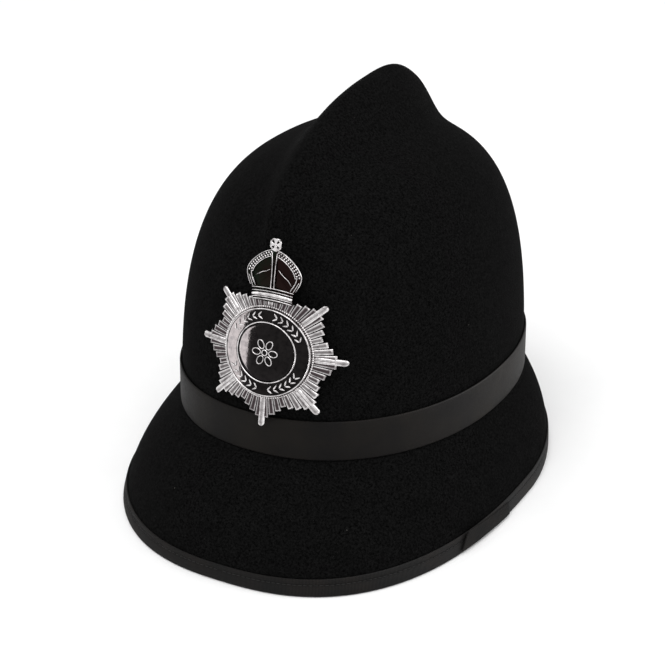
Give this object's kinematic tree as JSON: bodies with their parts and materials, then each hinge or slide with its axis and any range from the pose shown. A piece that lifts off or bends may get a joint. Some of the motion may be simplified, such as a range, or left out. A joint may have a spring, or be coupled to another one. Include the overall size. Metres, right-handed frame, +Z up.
{
  "type": "custodian police helmet",
  "caption": "Tall felt-covered police helmet with a raised comb, a bound flared brim, a hat band, a star-and-crown front plate and a chin strap stowed inside",
  "frame": {"origin": "middle of the rim, on the plane that the helmet stands on", "axes": "+Z up, the front with its plate faces -Y, +X is the wearer's left"},
  "size_m": [0.2248, 0.2758, 0.2248],
  "materials": {
    "wool_felt": "napped wool felt, black",
    "shell_board": "moulded composite shell",
    "cork": "carved cork, open grain",
    "lining_cloth": "plain woven cotton, black",
    "binding_tape": "ribbed binding tape, black",
    "band_vinyl": "smooth black band, soft sheen",
    "sweatband_leather": "grained leather, dark brown",
    "foam": "open-cell foam, charcoal",
    "badge_chrome": "polished chromium plate",
    "fixing_brass": "turned brass",
    "strap_leather": "black bridle leather",
    "anchor_nylon": "moulded nylon, black",
    "stud_steel": "plated steel"
  },
  "bodies": {
    "helmet": {"felt_cover": "wool_felt", "stiffener_shell": "shell_board", "comb_core": "cork", "crown_lining": "lining_cloth", "brim_lining": "lining_cloth", "edge_binding": "binding_tape", "binding_tail": "binding_tape", "hat_band": "band_vinyl", "hat_band_lap": "band_vinyl", "sweatband": "sweatband_leather", "sweatband_seam": "binding_tape", "spacer_pads": "foam", "crown_pad": "foam", "star_plate": "badge_chrome", "star_ring": "badge_chrome", "star_boss": "badge_chrome", "badge_crown": "badge_chrome", "badge_posts": "fixing_brass", "badge_washers": "strap_leather", "badge_nuts": "fixing_brass", "strap_anchor_left": "anchor_nylon", "strap_anchor_right": "anchor_nylon", "strap_stud_left": "stud_steel", "strap_stud_right": "stud_steel", "anchor_rivets": "fixing_brass"},
    "strap": {"chin_strap": "strap_leather", "strap_tail": "strap_leather", "strap_keeper": "strap_leather"},
    "slide": {"strap_slide": "stud_steel"}
  },
  "joints": [
    {"name": "strap_swing", "type": "hinge", "parent": "helmet", "child": "strap", "pos_m": [0, 0.01441, 0.04024], "axis": [1, 0, 0], "range_deg": [0, 105]},
    {"name": "slide_travel", "type": "slide", "parent": "strap", "child": "slide", "axis": [0.6846, 0.7261, -0.0648], "range_m": [-0.004, 0.004]}
  ]
}
